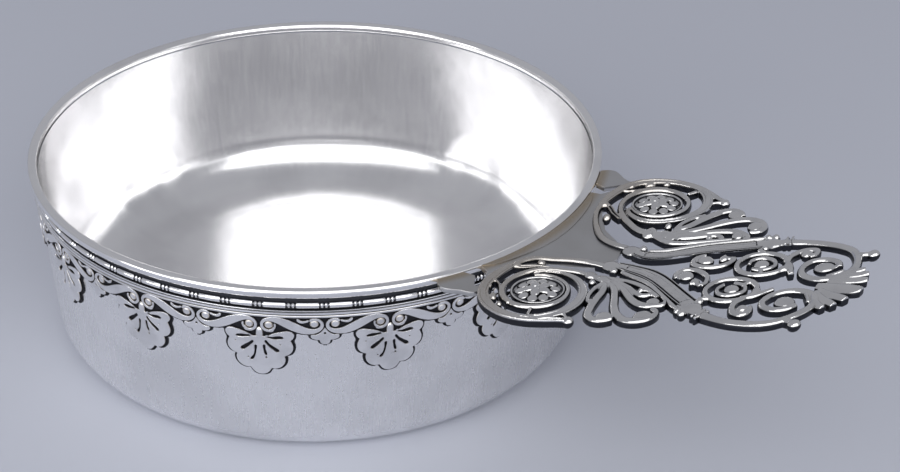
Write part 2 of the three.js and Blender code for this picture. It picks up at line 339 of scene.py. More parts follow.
# Painted shade on the wall's outer face behind the wires, in the dark oxide colour.
def bowlShadeBehindWires(paint, x, y, z):
    outside = paint.step(proudOfWall(x, y, z), *wallSkin)
    return outside * paint.step(z, *underWires) * 0.95


def bowlSatin(paint, x, y, z):
    return paint.step(proudOfWall(x, y, z), *wallSkin) * 0.06


# Two knocks show as shallow dents where the wall meets the floor.
dents = {"places": ((-58, 1.5, 9), (0.5, 58, 9)), "flat": 3.0, "reach": 10.5, "deep": 14.0}


def bowlDents(paint, x, y, z):
    total = x * 0.0
    for acrossX, acrossY, up in dents["places"]:
        sideX, sideY, rise = x - acrossX, y - acrossY, z - up
        distance = (sideX * sideX + sideY * sideY + rise * rise) ** 0.5
        total = total + (1.0 - paint.step(distance, dents["flat"], dents["reach"])) * dents["deep"]
    return total


# The inside turns from wall to floor in a broad curve, and the floor dips a little.
insideForm = {
    "wall": 59.3, "wide": 16, "tall": 12, "steps": 24,
    "floor": 1.0, "dip": 0.9, "floorShares": (0.86, 0.7, 0.54, 0.38, 0.22, 0.1, 0.0001),
}


def insideRings(form):
    wide, tall, flat = form["wide"], form["tall"], form["wall"] - form["wide"]
    rings = []
    for k in range(form["steps"] + 1):
        angle = math.radians(90 * k / form["steps"])
        rings.append((flat + wide * math.cos(angle), form["floor"] + tall * (1 - math.sin(angle))))
    for share in form["floorShares"]:
        rings.append((flat * share, form["floor"] - form["dip"] * (1 - share * share)))
    return rings


def makeBowl():
    form = bowlForm
    centre = (form["wallFoot"] - form["corner"], form["corner"])
    rings = form["foot"] + arcRings(centre, form["corner"], -90, 0, 12)
    up = [*form["wallSteps"], form["lip"]]
    down = [form["lip"], *form["wallSteps"][:0:-1], form["insideStart"]]
    rings += [(wallRadius(z), z) for z in up]
    rings += [(wallRadius(z) - form["sheet"], z) for z in down]
    rings += insideRings(insideForm)
    material = silver("bowlPolish", bowlLook, dark=bowlShadeBehindWires, satin=bowlSatin, relief=bowlDents)
    return finishPiece(turnRings(rings, form["steps"]), "bowl_shell", material, ["bowl"], 60)


wireLook = {
    "rough": 0.13, "cloud": 0.06, "dull": 0.25, "drag": 1.0, "streak": 0.6, "scratch": 0.10,
    "wave": 0.3, "grain": 0.05, "bump": 0.25,
}


# the wire's section, as (radius, height), from its inner face over the top and back below
rimProfile = [
    (61.3, 41.4), (61.45, 41.95), (61.8, 42.3), (62.3, 42.47), (62.65, bowlForm["height"]), (63.0, 42.43),
    (63.3, 42.2), (63.46, 41.9), (bowlForm["rim"], 41.5), (63.47, 41.1), (63.3, 40.75), (63.0, 40.6),
    (61.4, 40.6), (61.3, 41.4),
]


def makeRim():
    material = silver("rimPolish", wireLook)
    ring = turnRings(rimProfile, bowlForm["steps"])
    return finishPiece(ring, "rim_ring", material, ["rim_wire"], 60)


# Flat work is drawn with x along the wall and z up, its face towards -y, and then wrapped.
def wrapRound(piece, turn, radiusAt):
    for vertex in piece.data.vertices:
        along, back, z = vertex.co
        angle = turn + along / bowlForm["wallTop"]
        radius = radiusAt(z) - back
        vertex.co = (radius * math.cos(angle), radius * math.sin(angle), z)


def repeatRound(piece, count, turn):
    copies = [piece]
    for k in range(1, count):
        copy = copyOf(piece)
        copy.data.transform(Matrix.Rotation(2 * math.pi * k / count, 4, "Z"))
        copies.append(copy)
    whole = joinAll(copies)
    whole.data.transform(Matrix.Rotation(turn, 4, "Z"))
    return whole


reelForm = {
    "count": 60, "axisRadius": 62.02, "middle": 38.48, "bar": 0.73, "bead": 0.74, "neck": 0.36,
    "bright": (62.25, 62.5),    # oxide in the grooves and painted shade on the side facing the wall stay inside the first radius; the wire is worn bright outside the second
}


# Oxide in the grooves, with painted shade on the back of the wires where they face the wall.
def galleryOxideAndShade(paint, x, y, z):
    radius = (x * x + y * y) ** 0.5
    return 1.0 - paint.step(radius, *reelForm["bright"])


galleryLook = {**wireLook, "rough": 0.17, "scratch": 0.05}


def makeReels():
    form = reelForm
    pitch = 2 * math.pi * bowlForm["wallTop"] / form["count"]
    bar, bead, neck = form["bar"], form["bead"], form["neck"]
    half = [(neck, 0), (neck, 0.12), (bead * 0.8, 0.2), (bead, 0.42), (bead * 0.8, 0.64), (neck, 0.72)]
    half += [(neck, 0.98), (bar * 0.9, 1.06), (bar, 1.25), (bar, pitch / 2)]
    rings = half + [(r, pitch - s) for r, s in reversed(half[:-1])]
    reel = turnRings(rings, 12)
    reel.data.transform(Matrix.Rotation(math.radians(90), 4, "Y"))
    reel.data.transform(Matrix.Translation((0, 0, form["middle"])))
    wrapRound(reel, 0, lambda z: form["axisRadius"])
    whole = repeatRound(reel, form["count"], bowlForm["galleryTurn"])
    mergeShell(whole, 0.02)
    material = silver("reelSilver", galleryLook, dark=galleryOxideAndShade)
    return finishPiece(whole, "bead_and_reel", material, ["reel_wire"])


# two beads with a groove between, as (height, how far proud of the wall)
filletProfile = [
    (36.28, 0.1), (36.3, 0.45), (36.42, 0.66), (36.6, 0.7), (36.76, 0.64), (36.86, 0.36), (37.0, 0.34),
    (37.08, 0.5), (37.2, 0.6), (37.34, 0.55), (37.42, 0.3), (37.43, 0.1), (36.28, 0.1),
]


def turnOnWall(profile):
    return turnRings([(wallRadius(z) + proud, z) for z, proud in profile], bowlForm["steps"])


def makeFillet():
    material = silver("filletSilver", galleryLook, dark=galleryOxideAndShade)
    return finishPiece(turnOnWall(filletProfile), "fillet_ring", material, ["fillet_wire"])


# The frieze: one palmette with its scrolls and one drop, drawn flat and repeated.
friezeForm = {
    "count": 15,
    "top": 36.15,
    "dropMiddle": 13.03,
    "ground": 0.16,
    "outline": 0.32,
    "low": 0.05,
    "face": 0.64,
    "edge": 0.09,
    "slice": 1.3,
    "buttons": [(1.95, 33.62, 0.25, 0.98, 0.40), (10.95, 34.1, 0.25, 0.98, 0.42)],
    "heart": (0, 31.4, 0.3, 0.8, 0.58),
    "heartStretch": 1.7,
    "dropHole": (31.9, 0.24),
    "strip": [
        (35.62, 0.05), (35.62, 0.5), (35.68, 0.6), (36.05, 0.62), (36.13, 0.55), (36.15, 0.05), (35.62, 0.05),
    ],
    # the dark of oxide and painted shade fades out between these heights
    "oxideAndShade": (0.34, 0.52),
    "stain": (0.46, 0.62),
}
palmetteHalf = [
    (0, 21.3), (1.25, 21.7), (2.15, 22.9, 1), (3.3, 22.9), (4.6, 23.9), (5.0, 25.2), (4.8, 26.0, 1),
    (6.0, 26.7), (6.65, 28.0), (6.35, 29.5), (6.15, 29.9, 1), (6.8, 30.7), (6.85, 31.7), (6.0, 32.3),
    (4.4, 32.1), (2.6, 31.5), (1.3, 30.8), (0.5, 30.9),
]
palmetteSlots = [
    [(-0.85, 28.6), (-1.15, 27.2), (-1.45, 26.0), (-2.1, 24.8), (-1.6, 24.9), (-1.2, 25.6), (-0.8, 27.2)],
    [(0.85, 28.8), (1.1, 27.6), (1.35, 26.5), (1.2, 26.1), (0.9, 26.4), (0.7, 27.4)],
    [(-1.3, 29.6), (-2.3, 29.0), (-3.3, 28.3), (-4.0, 27.4), (-3.6, 27.1), (-2.9, 27.5), (-2.0, 28.4)],
    [(1.1, 29.9), (1.9, 29.1), (2.9, 28.3), (3.9, 27.3), (3.5, 27.0), (2.6, 27.6), (1.6, 28.6)],
    [(-1.7, 30.9), (-2.6, 30.95), (-4.2, 30.9), (-4.8, 30.5), (-4.1, 30.25), (-2.9, 30.4)],
    [(1.3, 31.0), (2.2, 30.75), (3.4, 31.0), (4.4, 31.0), (4.8, 30.6), (3.9, 30.3), (2.4, 30.3)],
]
palmetteDots = [(1.15, 25.6, 0.2), (-2.5, 25.4, 0.14), (4.1, 28.9, 0.13), (-4.9, 29.2, 0.12)]
scrollRoute = [
    (2.9, 32.6, 0.5), (2.0, 32.25, 0.6), (1.0, 32.65, 0.6), (0.6, 33.6, 0.6), (0.95, 34.6, 0.7),
    (2.0, 35.1, 0.9), (3.5, 35.0, 1.4), (5.3, 34.3, 1.9), (7.0, 33.4, 2.0), (8.8, 32.6, 1.7),
    (10.6, 32.35, 1.2), (11.9, 32.8, 0.85), (12.5, 33.8, 0.7), (12.1, 34.85, 0.6), (11.1, 35.25, 0.55),
    (10.1, 34.9, 0.45),
]
leafRoute = [(7.6, 35.3, 0.3), (8.3, 34.7, 0.6), (9.2, 34.7, 0.45), (9.9, 35.0, 0.25)]
ringRoute = [(2.75, 32.7, 0.45), (3.2, 33.3, 0.35), (3.15, 34.0, 0.3)]
groundHalf = [
    (0, 21.15), (1.35, 21.5), (2.3, 22.75), (3.4, 22.7), (4.8, 23.7), (5.2, 25.2), (5.0, 25.9),
    (6.2, 26.5), (6.85, 28.0), (6.6, 29.6), (7.0, 30.6), (7.2, 31.7), (8.4, 31.6), (9.9, 31.3),
    (10.1, 30.7), (11.0, 30.2), (11.7, 30.1), (12.0, 29.4), (13.03, 28.95),
]
dropHalf = [
    (0, 29.1), (0.8, 29.4), (1.1, 30.2, 1), (2.0, 30.35), (2.8, 30.9), (2.7, 31.5), (1.9, 31.55),
    (1.1, 31.9), (0.45, 32.6), (0, 33.3, 1),
]


def mirrorLoop(half):
    return half + [(-x, *rest) for x, *rest in reversed(half) if x]


def bandLoop(route):
    rows = [Vector(p) for p in route]
    sides = ([], [])
    for k, spot in enumerate(rows):
        ahead = rows[min(k + 1, len(rows) - 1)] - rows[max(k - 1, 0)]
        across = Vector((ahead.y, -ahead.x)).normalized() * spot.z / 2
        sides[0].append((spot.x + across.x, spot.y + across.y))
        sides[1].append((spot.x - across.x, spot.y - across.y))
    return sides[0] + sides[1][::-1]


def cutShape(loops, low, high, edge, grow=0.0):
    curve = bpy.data.curves.new("shape", "CURVE")
    curve.dimensions = "2D"
    curve.fill_mode = "BOTH"
    curve.resolution_u = 3
    curve.extrude = (high - low) / 2 - edge
    curve.bevel_depth = edge
    curve.bevel_resolution = 1
    curve.offset = grow - edge
    for loop in loops:
        spline = curve.splines.new("BEZIER")
        spline.bezier_points.add(len(loop) - 1)
        spline.use_cyclic_u = True
        for point, (x, y, *corner) in zip(spline.bezier_points, loop):
            point.co = (x, y, 0)
            point.handle_left_type = "VECTOR" if corner else "AUTO"
            point.handle_right_type = "VECTOR" if corner else "AUTO"
    piece = putIn(bpy.data.objects.new("shape", curve))
    pick(piece)
    bpy.ops.object.convert(target="MESH")
    piece.data.transform(Matrix.Translation((0, 0, (low + high) / 2)))
    return piece


def button(x, y, low, radius, rise):
    clearPick()
    bpy.ops.mesh.primitive_uv_sphere_add(segments=12, ring_count=8, radius=1, location=(x, y, low))
    piece = bpy.context.object
    piece.scale = (radius, radius, rise)
    return piece


# Cuts across x give a flat piece the points that it needs to bend.
def sliceAlong(piece, start, end, step):
    editAll(piece)
    place = start + step
    while place < end - step / 2:
        bpy.ops.mesh.select_all(action="SELECT")
        bpy.ops.mesh.bisect(plane_co=(place, 0, 0), plane_no=(1, 0, 0))
        place += step
    leaveEdit()


# Oxide with painted shade: the frieze goes dark where it stands little proud of the wall, in the slots, round
# the outlines and over the ground.
def friezeOxideAndShade(paint, x, y, z):
    return (1.0 - paint.step(proudOfWall(x, y, z), *friezeForm["oxideAndShade"])) * 0.97


def friezeStain(paint, x, y, z):
    return (1.0 - paint.step(proudOfWall(x, y, z), *friezeForm["stain"])) * 0.8


friezeLook = {
    "rough": 0.24, "cloud": 0.15, "dull": 0.5, "drag": 1.0, "streak": 0.8, "scratch": 0.10,
    "wave": 0.5, "grain": 0.35, "bump": 0.5,
}


def ringLoop(x, y, radius, count=6):
    angles = [2 * math.pi * k / count for k in range(count)]
    return [(x + radius * math.cos(a), y + radius * math.sin(a)) for a in angles]


def makeFrieze():
    form = friezeForm
    half, low, face, edge = form["dropMiddle"], form["low"], form["face"], form["edge"]
    groundLoop = groundHalf[:-1] + [(*groundHalf[-1], 1), (half, form["top"], 1)]
    cuts = palmetteSlots + [ringLoop(*dot) for dot in palmetteDots]
    dropLoop = [(half + x, y, *corner) for x, y, *corner in mirrorLoop(dropHalf)]
    shapes = [
        # the ground sheet, dark as oxide with painted shade round the motifs
        cutShape([mirrorLoop(groundLoop)], 0.0, form["ground"], 0.0, form["outline"]),
        cutShape([mirrorLoop(palmetteHalf)] + cuts, low, face, edge),
        cutShape([dropLoop, ringLoop(half, *form["dropHole"])], low, face, edge),
    ]
    for route in (scrollRoute, leafRoute, ringRoute):
        loop = bandLoop(route)
        for side in (1, -1):
            shapes.append(cutShape([[(side * x, y) for x, y in loop]], low, face - 0.02 * side, edge))
    for side in (1, -1):
        shapes += [button(side * x, *rest) for x, *rest in form["buttons"]]
    shapes.append(button(*form["heart"]))
    shapes[-1].scale.y = form["heartStretch"]
    unit = joinAll(shapes)
    unit.data.transform(Matrix.Rotation(math.radians(90), 4, "X"))
    sliceAlong(unit, -half, half + 3, form["slice"])
    wrapRound(unit, math.pi / form["count"], wallRadius)
    whole = repeatRound(unit, form["count"], bowlForm["galleryTurn"])
    whole = joinAll([whole, turnOnWall(form["strip"])])
    material = silver("friezeSilver", friezeLook, dark=friezeOxideAndShade, stain=friezeStain)
    return finishPiece(whole, "palmette_frieze", material, ["frieze_band"], 40)


# The handle's flat frame: x is the distance beyond the rim, y the distance from its middle line.
# It dips between the volutes, where the plate lies level with the rim.
dip = {"deep": 1.6, "near": 7, "far": 20, "flat": 34, "narrow": 5, "wide": 15}


def ease(value):
    value = min(1, max(0, value))
    return value * value * (3 - 2 * value)


def drape(piece):
    for vertex in piece.data.vertices:
        x, y = max(0, vertex.co.x), abs(vertex.co.y)
        along = ease(x / dip["near"]) * (1 - ease((x - dip["far"]) / (dip["flat"] - dip["far"])))
        across = 1 - ease((y - dip["narrow"]) / (dip["wide"] - dip["narrow"]))
        vertex.co.z += crestHeight(x) - dip["deep"] * along * across
        vertex.co.x += bowlForm["rim"]


plateForm = {
    "low": -1.64,
    "high": -0.54,
    "innerRadius": 63.55,
    "apex": (16.5, 0),
    "edge": [
        (-6.7, 28.6), (-5.6, 29.8), (-4.2, 30.4), (-2.8, 30), (-0.8, 28.9), (1.8, 28), (3, 24), (2.6, 18.5),
        (3.6, 13.6), (7.8, 8.8), (14.6, 5.2),
    ],
    "slot": [(-1.9, 22.8), (0.4, 26), (1.2, 25.2), (-0.9, 20)],
    "slotEnds": (23.2, 19.3),
    "soft": 0.12,
    "border": {"reach": 19.0, "wide": 2.3, "least": 0.1, "deep": 0.3, "proud": 0.22, "half": 12},
    "slice": (-7, 17, 1.5),
    "stain": (64.2, 66.2),
}
plateLook = {
    "base": "satin", "rough": 0.31, "cloud": 0.09, "dull": 0.5, "drag": 1.0, "streak": 0.9, "scratch": 0.16,
    "wave": 0.6, "grain": 0.2, "bump": 0.4,
}


def plateStain(paint, x, y, z):
    radius = (x * x + y * y) ** 0.5
    return (1.0 - paint.step(radius, *plateForm["stain"])) * 0.9


def rimArc(start, end, count):
    radius, rim = plateForm["innerRadius"], bowlForm["rim"]
    first, last = math.asin(start / radius), math.asin(end / radius)
    angles = [first + (last - first) * k / count for k in range(count + 1)]
    return [(radius * math.cos(a) - rim, radius * math.sin(a), 1) for a in angles]


# A raised edge follows the rim where the plate is soldered on.
def borderLoop(border):
    reach, half = border["reach"], border["half"]
    inside = rimArc(-reach, reach, 2 * half)
    outside = []
    for k in range(2 * half + 1):
        share = 1 - k / half
        angle = share * math.asin(reach / plateForm["innerRadius"])
        radius = plateForm["innerRadius"] + border["wide"] * (1 - share * share) ** 0.5 + border["least"]
        outside.append((radius * math.cos(angle) - bowlForm["rim"], radius * math.sin(angle), 1))
    return inside + outside


def makePlate():
    form = plateForm
    slotOut, slotIn = form["slotEnds"]
    upper = [form["apex"] + (1,)] + [(*p, 1) if p[0] > 3.2 else p for p in reversed(form["edge"])]
    upper += rimArc(form["edge"][0][1], slotOut, 6) + [(*p, 1) for p in form["slot"]] + rimArc(slotIn, 0, 14)
    lower = [(x, -y, *c) for x, y, *c in reversed(upper[1:-1])]
    plate = cutShape([upper + lower], form["low"], form["high"], form["soft"])
    border = form["border"]
    low, high = form["high"] - border["deep"], form["high"] + border["proud"]
    plate = joinAll([plate, cutShape([borderLoop(border)], low, high, form["soft"])])
    sliceAlong(plate, *form["slice"])
    drape(plate)
    material = silver("plateSatin", plateLook, stain=plateStain)
    return finishPiece(plate, "handle_heel", material, ["heel_plate"])


# Castings: bands are swept along their routes, given as (beyond rim, from middle line, width).
# A band's section goes from -1 to 1 over its width and its thickness.
castForm = {"thick": 2.0, "shift": -0.5, "step": 0.4, "grid": 0.16, "smooth": 2, "rise": 0.25}
roundBand = [(-0.7, -1), (-0.95, -0.8)] + [
    (-math.cos(k * math.pi / 10), -0.1 + 1.1 * math.sin(k * math.pi / 10)) for k in range(11)] + [
    (0.95, -0.8), (0.7, -1)]
channelBand = [
    (-0.85, -1), (-1, -0.7), (-1, 0.3), (-0.9, 0.85), (-0.74, 1.0), (-0.58, 0.9), (-0.45, 0.6), (0, 0.5),
    (0.45, 0.6), (0.58, 0.9), (0.74, 1.0), (0.9, 0.85), (1, 0.3), (1, -0.7), (0.85, -1),
]
leafBand = [
    (-0.8, -1), (-1, -0.7), (-1, 0.1), (-0.8, 0.72), (-0.5, 0.8), (-0.18, 0.2), (0.18, 0.2),
    (0.5, 0.8), (0.8, 0.72), (1, 0.1), (1, -0.7), (0.8, -1),
]
railBand = [
    (-0.94, -1), (-1, -0.4), (-1, 0.45), (-0.95, 0.8), (-0.88, 0.82), (-0.82, 0.5), (-0.79, 0.05),
    (-0.74, 0.05), (-0.7, 0.62), (-0.6, 0.8), (-0.42, 0.84), (-0.38, 0.76), (-0.2, 0.8), (-0.16, 0.88),
    (0.16, 0.88), (0.2, 0.8), (0.38, 0.76), (0.42, 0.84), (0.6, 0.8), (0.7, 0.62), (0.74, 0.05),
    (0.79, 0.05), (0.82, 0.5), (0.88, 0.82), (0.95, 0.8), (1, 0.45), (1, -0.4), (0.94, -1),
]


def smoothRoute(points, closed):
    spots = [Vector(p) for p in points]
    count = len(spots)
    rows = []
    for i in range(count if closed else count - 1):
        b, c = spots[i], spots[(i + 1) % count]
        a = spots[i - 1] if closed or i else b * 2 - c
        d = spots[(i + 2) % count] if closed or i + 2 < count else c * 2 - b
        before, middle, after = [(q - p).length ** 0.5 for p, q in ((a, b), (b, c), (c, d))]
        leave = ((b - a) / before - (c - a) / (before + middle) + (c - b) / middle) * middle
        reach = ((c - b) / middle - (d - b) / (middle + after) + (d - c) / after) * middle
        pieces = max(2, round((c - b).length / castForm["step"]))
        for k in range(pieces):
            s = k / pieces
            rows.append(b * (2 * s ** 3 - 3 * s ** 2 + 1) + leave * (s ** 3 - 2 * s ** 2 + s)
                        + c * (3 * s ** 2 - 2 * s ** 3) + reach * (s ** 3 - s ** 2))
    return rows if closed else rows + [spots[-1]]


def castHeight(q):
    return q * castForm["thick"] / 2 + castForm["shift"]


def sweepBand(route, section, closed=False):
    rows = smoothRoute(route, closed)
    last, around = len(rows) - 1, len(section)
    corners = []
    for k, spot in enumerate(rows):
        if closed:
            ahead = rows[(k + 1) % len(rows)] - rows[k - 1]
        else:
            ahead = rows[min(k + 1, last)] - rows[max(k - 1, 0)]
        side = Vector((ahead.y, -ahead.x)).normalized() * spot.z / 2
        corners += [(spot.x + side.x * p, spot.y + side.y * p, castHeight(q)) for p, q in section]
    faces = []
    for i in range(len(rows) if closed else last):
        here, there = i * around, (i + 1) % len(rows) * around
        for j in range(around):
            beside = (j + 1) % around
            faces.append((here + j, here + beside, there + beside, there + j))
    if not closed:
        faces += [tuple(range(around))[::-1], tuple(range(last * around, last * around + around))]
    mesh = bpy.data.meshes.new("band")
    mesh.from_pydata(corners, [], faces)
    return putIn(bpy.data.objects.new("band", mesh))


def ringRound(x, y, radius, width):
    return [(*spot, width) for spot in ringLoop(x, y, radius, 16)]


def knob(x, y, radius, stretch=1.0, turn=0.0, lift=0.0):
    clearPick()
    middle = (x, y, lift + castForm["shift"])
    bpy.ops.mesh.primitive_uv_sphere_add(segments=24, ring_count=14, radius=1, location=middle)
    piece = bpy.context.object
    piece.scale = (radius * stretch, radius, castForm["thick"] / 2 + castForm["rise"])
    piece.rotation_euler.z = math.radians(turn)
    return piece


# A motif has bands as (section, route), rings as (x, y, radius, width) and knobs as (x, y, radius,
# stretch, turn). Its crisp bands aren't fused, so that their grooves stay sharp.
motifs = {
    "volute": {
        "bands": [
            (roundBand, [
                (16.8, 4.4, 1.4), (14.2, 4.4, 1.5), (11.6, 4.8, 1.7), (9.0, 5.8, 1.7), (6.8, 7.5, 1.6),
                (5.0, 9.4, 1.4), (3.8, 11.2, 1.3), (2.9, 13.2, 1.3), (2.4, 15.6, 1.5),
            ]),
            (channelBand, [
                (2.6, 14.8, 1.4), (2.1, 18.2, 1.9), (2.0, 21.6, 2.2), (2.5, 25.0, 2.3), (4.0, 28.0, 2.3),
                (6.5, 30.4, 2.2), (9.8, 31.9, 2.0), (13.2, 32.3, 1.9), (16.6, 31.8, 1.7), (19.6, 30.6, 1.5),
                (22.3, 29.3, 1.2), (24.2, 28.7, 0.9),
            ]),
            (channelBand, [
                (15.6, 32.0, 1.3), (18.8, 30.0, 2.0), (21.0, 27.0, 2.2), (21.9, 23.8, 2.2), (21.6, 21.0, 2.1),
                (20.3, 17.8, 1.9), (18.0, 15.3, 1.6), (15.3, 13.9, 1.4), (12.4, 13.6, 1.2), (9.6, 14.7, 1.0),
                (7.9, 16.6, 0.8),
            ]),
            (roundBand, [
                (17.4, 10.4, 1.4), (14.4, 10.7, 1.4), (11.8, 11.8, 1.5), (9.2, 13.3, 1.5), (7.2, 15.3, 1.4),
                (5.8, 17.8, 1.4), (5.2, 20.6, 1.4), (5.6, 23.4, 1.4), (7.1, 25.9, 1.4), (9.8, 27.8, 1.4),
                (12.6, 28.2, 1.4), (15.2, 27.3, 1.4), (17.4, 25.3, 1.4), (18.4, 22.4, 1.3), (17.9, 19.6, 1.2),
                (16.2, 17.2, 1.1), (13.4, 15.9, 1.0), (10.4, 15.9, 0.9), (8.4, 17.2, 0.8),
            ]),
            (roundBand, [
                (2.5, 22.7, 0.7), (4.2, 23.3, 0.6), (5.8, 25.0, 0.6), (7.6, 27.2, 0.6), (10.4, 28.6, 0.7),
            ]),
            (leafBand, [(3.0, 16.2, 1.0), (4.6, 15.2, 1.2), (6.6, 13.6, 1.2), (8.8, 12.6, 0.9)]),
            (roundBand, [(16.3, 30.4, 0.9), (15.4, 28.3, 0.8)]),
            (roundBand, [(22.0, 26.6, 0.7), (22.9, 27.6, 0.8), (24.2, 28.4, 1.0)]),
        ],
        "knobs": [
            (24.2, 28.5, 1.1), (6.4, 28.0, 0.75, 1.7, 48), (3.6, 25.2, 0.5, 1.6, 62),
            (9.2, 29.9, 0.55, 1.4, 30), (3.0, 15.6, 1.0), (6.2, 11.6, 0.9), (17.2, 10.3, 1.4),
            (19.7, 13.8, 0.8),
        ],
    },
    "rail": {
        "bands": [
            (roundBand, [
                (20.8, 5.0, 1.0), (25.4, 6.9, 1.3), (28.6, 8.6, 1.35), (33.9, 12.2, 1.35), (38.0, 15.0, 1.2),
                (40.0, 16.3, 0.9),
            ]),
            (roundBand, [
                (40.0, 13.4, 4.0), (41.6, 14.4, 4.6), (43.0, 15.3, 4.0), (44.2, 16.0, 2.6), (45.4, 16.6, 2.4),
            ]),
            (roundBand, [(44.2, 18.2, 0.8), (44.6, 16.6, 0.9), (45.3, 14.9, 0.8)]),
            (roundBand, [(45.1, 18.7, 0.7), (45.6, 16.7, 0.8), (46.2, 15.2, 0.7)]),
            (roundBand, [(16.2, 4.0, 1.6), (18.6, 3.4, 2.4), (21.0, 3.2, 2.4)]),
        ],
        "crisp": [(railBand, [
            (18.6, 3.3, 2.4), (21.3, 3.2, 3.0), (25.4, 4.2, 3.5), (28.6, 5.8, 3.7), (33.6, 9.0, 3.8),
            (37.5, 11.5, 3.8), (41.0, 13.7, 3.7),
        ])],
        "knobs": [
            (17.6, 3.7, 1.9, 1.15, 0), (19.2, 5.4, 0.9), (41.9, 17.6, 0.9), (40.6, 17.0, 0.8),
            (42.4, 12.3, 0.9), (42.6, 15.0, 1.9, 1.2, 30),
        ],
    },
    "husk_fan": {
        "bands": [
            (roundBand, [(17.4, 10.4, 1.95), (20.3, 10.9, 2.6), (22.8, 11.3, 2.99)]),
            (roundBand, [
                (21.6, 12.2, 1.3), (23.2, 15.4, 1.69), (24, 19, 1.82), (24.9, 22.3, 1.95), (26.1, 24.8, 1.95),
                (28, 26, 1.69), (29.8, 25.6, 1.43), (31, 24.2, 1.17),
            ]),
            (roundBand, [
                (22.4, 11.9, 1.3), (24.8, 14, 1.69), (26.8, 16.9, 1.82), (28.6, 19.8, 1.95),
                (30.8, 22.3, 2.08), (33.2, 23.6, 2.08), (35.8, 23.1, 1.82), (37.3, 21.2, 1.69),
                (37.3, 19, 1.43), (35.8, 18, 1.17),
            ]),
            (roundBand, [
                (23.2, 11.4, 1.3), (25.9, 12.9, 1.56), (28.4, 14.9, 1.69), (30.7, 16.5, 1.82),
                (32.8, 17.3, 1.82), (35, 17, 1.56), (36.7, 15.7, 1.3), (36.4, 14.4, 1.04),
            ]),
            (roundBand, [
                (24, 10.8, 1.17), (26.8, 12.1, 1.43), (28.9, 13.4, 1.43), (30.9, 14.2, 1.3),
                (32.3, 13.4, 1.17), (31.8, 12.1, 1.04), (30.4, 11.7, 1.04),
            ]),
            (roundBand, [
                (19, 10.1, 1.3), (21.8, 9.3, 1.17), (23.9, 9.2, 1.17), (26.6, 9.7, 1.17), (29.7, 10.9, 1.17),
                (32.4, 12.4, 1.17), (34.4, 13.6, 1.04),
            ]),
            (roundBand, [
                (21.6, 13.4, 1.17), (21.5, 16.2, 1.17), (22.2, 18.9, 1.17), (23.4, 20.6, 1.3),
                (24.2, 19.6, 1.04),
            ]),
            (roundBand, [(21.2, 11.8, 1.04), (22.8, 11, 1.3), (24.4, 10.4, 1.04)]),
        ],
        "knobs": [
            (17.4, 10.9, 1.3), (20.4, 10.9, 1.5), (21.9, 13.5, 0.9), (29.2, 24.2, 1.5, 1.15, -30),
            (35.6, 21.0, 1.7, 1.15, -50), (34.5, 15.6, 1.2, 1.2, -45), (29.9, 12.5, 0.7), (23.9, 20.6, 0.8),
        ],
    },
    "end_scroll": {
        "bands": [
            (roundBand, [
                (45.6, 16.7, 2.4), (49, 17.5, 2.0), (52.2, 17.8, 1.9), (55.8, 17.4, 1.9), (58.9, 16.2, 1.9),
                (60.8, 14.0, 1.9), (62.1, 11.4, 1.9), (62.8, 8.4, 1.9), (62.3, 5.6, 1.8), (60.8, 3.6, 1.8),
                (58.8, 2.7, 1.7), (56.6, 2.9, 1.7), (54.8, 4.0, 1.7), (53.6, 6.0, 1.6), (53.4, 8.5, 1.6),
                (54.6, 10.4, 1.6), (56.6, 11.1, 1.6), (58.9, 10.3, 1.6), (60.0, 8.4, 1.5),
            ]),
            (roundBand, [(60.8, 14.4, 1.4), (62.2, 14.8, 1.3), (63.4, 15.4, 1.2)]),
            (roundBand, [(59.6, 3.8, 1.0), (60.8, 5.6, 0.9), (61.6, 7.0, 0.8)]),
        ],
        "knobs": [(57.4, 7.7, 1.9, 1.1, 20), (63.4, 15.4, 1.25)],
    },
    "ring_scroll": {
        "bands": [
            (roundBand, [
                (43.2, 4.6, 1.0), (42.9, 6.6, 1.1), (44.3, 8.3, 1.2), (46.7, 8.0, 1.2), (48.0, 5.8, 1.2),
                (46.8, 3.6, 1.1), (44.6, 3.2, 1.0),
            ]),
            (roundBand, [
                (50.8, 5.2, 1.2), (49.6, 8.0, 1.4), (48.9, 10.9, 1.5), (50.2, 13.8, 1.6), (52.3, 14.5, 1.6),
                (53.0, 12.8, 1.4), (52.4, 11.3, 1.2),
            ]),
            (roundBand, [(48.8, 8.6, 1.2), (50.6, 7.0, 1.5), (52.0, 4.6, 1.4), (52.8, 3.4, 1.2)]),
            (roundBand, [(43.6, 10, 1.3), (41.8, 11.5, 1.4)]),
            (roundBand, [(47.2, 1.8, 1.1), (46.6, 3.2, 0.9)]),
        ],
        "rings": [(45.4, 5.9, 4.75, 1.4)],
        "knobs": [(45.4, 5.7, 1.6), (51.4, 12.4, 1.2), (50.2, 5.0, 1.0)],
    },
    "small_scroll": {
        "bands": [
            (roundBand, [
                (33.4, 5.5, 1.2), (32.2, 3.6, 1.3), (33, 1.4, 1.3), (35.6, 0.95, 1.4), (38.2, 2.4, 1.4),
                (39.4, 5.2, 1.3), (39.2, 6.4, 1.2),
            ]),
            (roundBand, [(39.1, 6.2, 1.2), (37.6, 5.9, 1.0), (36.9, 6.6, 0.9)]),
        ],
        "knobs": [(34.4, 3.6, 1.55, 1.1, 20), (37.4, 5.4, 1.0)],
    },
}
